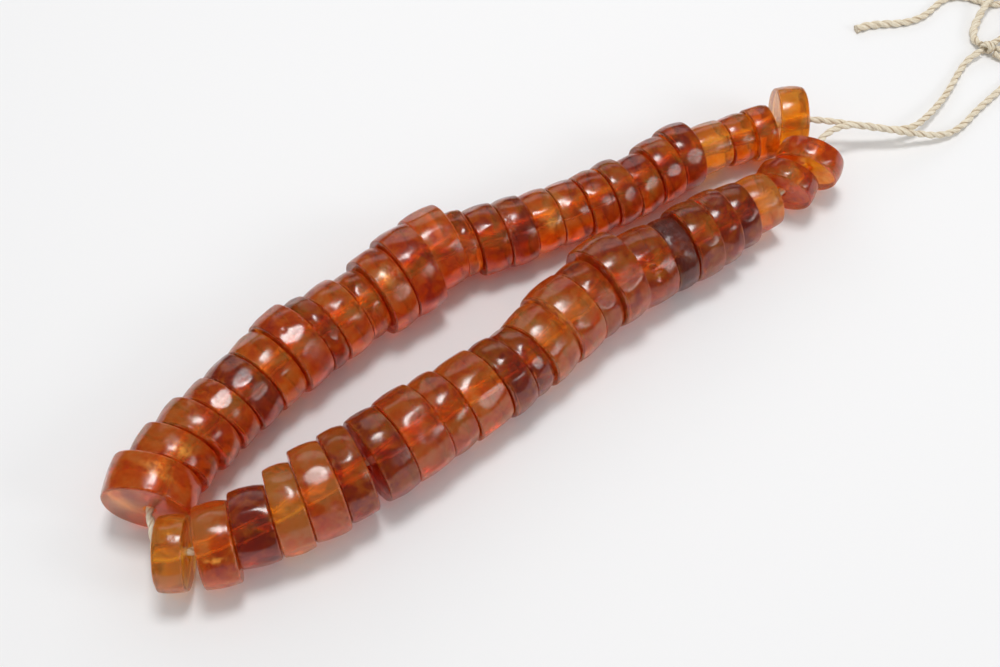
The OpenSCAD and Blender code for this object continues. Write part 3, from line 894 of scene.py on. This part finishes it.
def crust_colour(n, here, shade, rim, glow, dark):
    cloud = n.ramp(n.noise(here, 0.16, 3, 0.6, 0.8), 0.36, 0.64, -0.24, 0.22)
    small_cloud = n.ramp(n.noise(here, 0.5, 2, 0.5, 0.5), 0.35, 0.65, -0.10, 0.10)
    worn = n.times(rim, n.ramp(n.noise(here, 0.7, 3, 0.6), 0.50, 0.66))
    # The bright marks are partly painted light shining through the bead, the dark ones partly painted shade
    depth = n.sums(shade, [(cloud, 1), (small_cloud, 1), (dark, 0.6), (glow, -0.6), (worn, -0.35)])
    return n.colours(depth, CRUST)


print(len(CRUST), "colours from clear honey to black cherry")

# %% [markdown]
# ## Amber surface
#
# The group works out four things from the bead's shade and its marks: the colour, the roughness,
# the height for the bumps and a faint gleam. The gleam is painted light: a glow that stands in for
# the light that cracks, chips and clouds inside the amber send back, and for the glints. Real ones
# could be modelled inside the bead, but as layers on the surface they stay sharp and quick to render.

# %% Amber group
def new_group(name, inputs, outputs):
    group = bpy.data.node_groups.new(name, "ShaderNodeTree")
    for label, kind in inputs:
        group.interface.new_socket(label, in_out="INPUT", socket_type="NodeSocket" + kind)
    for label, kind in outputs:
        group.interface.new_socket(label, in_out="OUTPUT", socket_type="NodeSocket" + kind)
    return group, group.nodes.new("NodeGroupInput"), group.nodes.new("NodeGroupOutput")


def amber_group():
    group, inside, out = new_group(
        "amber surface",
        [
            ("Place", "Vector"), ("Shade", "Float"), ("Seed", "Float"), ("Rim", "Float"),
            ("Marks A", "Vector"), ("Marks B", "Vector"), ("Marks C", "Vector"),
        ],
        [("Colour", "Color"), ("Gleam", "Color"), ("Roughness", "Float"), ("Height", "Float")],
    )
    n = Net(group)
    place, shade, seed, rim, marks_a, marks_b, marks_c = inside.outputs[:7]
    frost, glow, dark = n.split(marks_a)
    milk, chip, craze = n.split(marks_b)
    glint, pit, sheen = n.split(marks_c)
    here = n.offset(place, seed)
    fine = n.noise(here, 0.9, 4, 0.65)
    grain = n.noise(here, 5.0, 3, 0.7)
    turned = n.noise(n.stretch(here, (3.2, 0.25, 0.25)), 1.6, 3, 0.6)
    # Masks: nicked rims, frosting and painted highlight, breaks, a net of cracks, specks, pits and glints
    nick = n.times(n.ramp(rim, 0.82, 0.95), n.ramp(n.noise(here, 0.9, 2, 0.6), 0.50, 0.60))
    nick = n.times(nick, n.ramp(grain, 0.40, 0.55))
    # Frost is partly a painted highlight: most of its patches lie where the lamps are mirrored
    frosted = n.times(frost, n.ramp(grain, 0.25, 0.6, 0.4, 1.0))
    chipped = n.times(chip, n.ramp(grain, 0.42, 0.5))
    cell = n.add("ShaderNodeTexVoronoi", feature="DISTANCE_TO_EDGE")
    n.wire(n.offset(here, n.times(fine, 1.2)), cell.inputs["Vector"])
    cell.inputs["Scale"].default_value = 1.1
    crack = n.times(n.ramp(cell.outputs["Distance"], 0.0, 0.07, 1.0, 0.0), craze)
    specks = n.ramp(n.noise(here, 3.4, 2, 0.5), 0.70, 0.76)
    pitted = n.times(pit, n.ramp(n.noise(here, 1.3, 3, 0.6), 0.44, 0.58))
    # Painted reflection: a glint is the lamp mirrored in a flat crack inside, golden in colour and gleam
    shine = n.times(glint, n.ramp(n.noise(here, 0.8, 2, 0.6), 0.36, 0.62))
    # The sheen layer paints a pale satin sheen
    colour = n.layers(crust_colour(n, here, shade, rim, glow, dark), [
        (frosted, 0.55, (0.80, 0.44, 0.27)), (sheen, 0.12, (0.80, 0.44, 0.27)),
        (milk, 0.85, (0.74, 0.62, 0.32)), (nick, 0.5, (1.0, 0.62, 0.38)),
        (chipped, 1, (0.70, 0.42, 0.28)), (crack, 0.6, (1.0, 0.66, 0.34)),
        (specks, 0.15, (0.60, 0.28, 0.14)), (pitted, 0.5, (0.30, 0.12, 0.08)),
        (shine, 1, (1.0, 0.86, 0.42)),
    ])
    # Painted light: broken, frosted and cloudy places glow a little as if they sent the light back, which
    # clear amber doesn't
    gleam = n.layers((0, 0, 0, 1), [
        (milk, 0.9, (0.15, 0.11, 0.045)), (frosted, 0.5, (0.10, 0.05, 0.03)),
        (nick, 0.3, (0.30, 0.13, 0.06)), (n.times(chip, n.ramp(grain, 0.5, 0.58)), 1, (0.30, 0.14, 0.08)),
        (crack, 0.6, (0.28, 0.13, 0.06)), (shine, 0.8, (0.80, 0.40, 0.04)),
    ])
    rough = n.sums(n.ramp(fine, 0.3, 0.7, 0.17, 0.24), [(frosted, 0.03), (sheen, 0.02)])
    height = n.sums(n.times(n.noise(here, 0.45, 1, 0.5), 0.3), [
        (n.times(grain, frosted), 0.3), (turned, 0.02), (nick, -0.1), (n.times(chip, fine), -1.2),
        (crack, -0.15), (pitted, -0.9), (specks, -0.2),
    ])
    for label, value in {"Colour": colour, "Gleam": gleam, "Roughness": rough, "Height": height}.items():
        n.wire(value, out.inputs[label])
    return group


AMBER_GROUP = amber_group()
print("the amber group has", len(AMBER_GROUP.nodes), "nodes")

# %% [markdown]
# ## Five ambers
#
# Amber is clear, so its colour comes mostly from how much light is swallowed on the way through.
# Five materials share the group and differ only in what ten millimetres of them let through. A
# bead takes the one for its shade.

# %% Amber materials
THROUGH_DEPTH = 0.010
# up to which shade, and what ten millimetres let through
CLEAR = {
    "honey": (0.16, (0.99, 0.60, 0.06)),
    "orange": (0.38, (0.98, 0.50, 0.05)),
    "russet": (0.58, (0.96, 0.40, 0.04)),
    "garnet": (0.78, (0.90, 0.30, 0.05)),
    "cherry": (1.01, (0.78, 0.22, 0.06)),
}
AMBER = {
    "IOR": 1.54, "Specular IOR Level": 0.15, "Coat Weight": 0.08, "Coat Roughness": 0.15,
    "Transmission Weight": 0.9, "Emission Strength": 1.0,
}


def new_material(name):
    """A new material, the net of its nodes and its shader."""
    material = bpy.data.materials.new(name)
    material.use_nodes = True
    return material, Net(material.node_tree), material.node_tree.nodes["Principled BSDF"]


def bumps(n, height, shader, strength, depth):
    """Lets a height tilt the shader's normals."""
    bump = n.add("ShaderNodeBump")
    bump.inputs["Strength"].default_value = strength
    bump.inputs["Distance"].default_value = depth
    n.wire(height, bump.inputs["Height"])
    n.wire(bump.outputs[0], shader.inputs["Normal"])


def amber_material(name, through):
    material, n, shader = new_material("amber_" + name)
    use = n.add("ShaderNodeGroup", node_tree=AMBER_GROUP)
    for name_in, output, label in [
        ("bead_xyz", "Vector", "Place"), ("shade", "Fac", "Shade"), ("seed", "Fac", "Seed"),
        ("rim", "Fac", "Rim"), ("marks_a", "Vector", "Marks A"), ("marks_b", "Vector", "Marks B"),
        ("marks_c", "Vector", "Marks C"),
    ]:
        n.wire(n.attribute(name_in, output), use.inputs[label])
    n.wire(use.outputs["Colour"], shader.inputs["Base Color"])
    n.wire(use.outputs["Gleam"], shader.inputs["Emission Color"])
    n.wire(use.outputs["Roughness"], shader.inputs["Roughness"])
    bumps(n, use.outputs["Height"], shader, strength=0.35, depth=0.0004)
    for label, value in AMBER.items():
        shader.inputs[label].default_value = value
    # The gleam is seen but lights nothing
    material.cycles.emission_sampling = "NONE"
    per_metre = [-math.log(t) / THROUGH_DEPTH for t in through]
    density = max(per_metre)
    volume = n.add("ShaderNodeVolumeAbsorption")
    volume.inputs["Color"].default_value = (*[1 - a / density for a in per_metre], 1)
    volume.inputs["Density"].default_value = density
    n.wire(volume.outputs[0], material.node_tree.nodes["Material Output"].inputs["Volume"])
    return material


AMBERS = {name: amber_material(name, through) for name, (_, through) in CLEAR.items()}
shades = [shade for run in RUNS for shade in SHADES[run]]
for obj, shade in zip(BEAD_PIECES, shades):
    name = next(name for name, (limit, _) in CLEAR.items() if shade < limit)
    obj.data.materials.append(AMBERS[name])
print(len(AMBERS), "ambers on", len(BEAD_PIECES), "beads")

# %% [markdown]
# ## Linen
#
# Undyed linen is cream, and the grooves between the plies are painted darker in patches as shade.
# The fibres are a noise stretched along the twine, so they wind with it. Single hairs could be
# modelled, but at this size the eye only sees the grooves.

# %% Linen material
def linen_material():
    material, n, shader = new_material("linen")
    yarn = n.attribute("yarn", "Vector")
    fibre = n.noise(n.stretch(yarn, (5.0, 5.0, 0.55)), 1.0, 3, 0.6)
    spot = n.noise(n.stretch(yarn, (0.8, 0.8, 0.3)), 1.0, 2, 0.5)
    colour = n.mix(n.ramp(fibre, 0.3, 0.7), (0.66, 0.55, 0.38, 1), (0.95, 0.88, 0.73, 1))
    # Painted shade: darker in the grooves between the plies, more in some places than others
    groove_shade = n.ramp(n.math("ABSOLUTE", n.split(yarn)[0]), 0.05, 0.5, 1.0, 0.0)
    groove_shade = n.times(groove_shade, n.ramp(spot, 0.35, 0.6, 0.25, 0.8))
    n.wire(n.mix(groove_shade, colour, (0.42, 0.27, 0.14, 1)), shader.inputs["Base Color"])
    shader.inputs["Roughness"].default_value = 0.85
    bumps(n, fibre, shader, strength=0.6, depth=0.0003)
    return material


LINEN = linen_material()
TWINE_PIECES = ["thread_twine", "bow_knot", *[row[0] for row in CORDS]]
for name in TWINE_PIECES:
    bpy.data.objects[name].data.materials.append(LINEN)
print("linen on", len(TWINE_PIECES), "pieces")

# %% [markdown]
# ## Floor and light
#
# A pale tabletop, a soft lamp almost straight overhead, a weaker one low on the right and a wide
# panel beyond the beads. Their reflections make the pale patches on the beads. The white
# surroundings only fill the shadows: the polished amber doesn't mirror them.

# %% Floor and light
HALF_FLOOR = 2.5
bm = bmesh.new()
bmesh.ops.create_grid(bm, x_segments=1, y_segments=1, size=HALF_FLOOR)
floor_mesh = bpy.data.meshes.new("floor")
bm.to_mesh(floor_mesh)
bm.free()
floor = link("floor", floor_mesh)
floor_material, _, floor_shader = new_material("floor")
floor_shader.inputs["Base Color"].default_value = (0.88, 0.88, 0.885, 1)
floor_shader.inputs["Roughness"].default_value = 0.7
floor_mesh.materials.append(floor_material)


def lamp(name, towards, distance, size, power):
    """A rectangular soft lamp that faces the beads."""
    data = bpy.data.lights.new(name, "AREA")
    data.shape = "RECTANGLE"
    data.size, data.size_y = size
    data.energy = power
    obj = link(name, data)
    direction = Vector(towards).normalized()
    obj.location = direction * distance
    obj.rotation_euler = (-direction).to_track_quat("-Z", "Y").to_euler()


# name, direction from the beads, distance, width and height in metres, watts
LAMPS = [
    ("overhead lamp", (0.12, 0.12, 1), 0.9, (0.23, 0.23), 3.4),
    ("right lamp", (0.5, -0.75, 0.5), 1.0, (0.3, 0.24), 1.2),
    ("far panel", (0.35, 0.75, 0.42), 1.2, (1.0, 0.4), 1.3),
]
for row in LAMPS:
    lamp(*row)

world = bpy.data.worlds.new("surroundings")
bpy.context.scene.world = world
world.use_nodes = True
world.cycles_visibility.glossy = False
background = world.node_tree.nodes["Background"]
background.inputs["Color"].default_value = (1, 1, 1, 1)
background.inputs["Strength"].default_value = 0.57
bpy.context.scene.view_settings.view_transform = "Standard"
print(len(LAMPS), "lamps of", round(sum(row[-1] for row in LAMPS), 1), "W in all")

# %% [markdown]
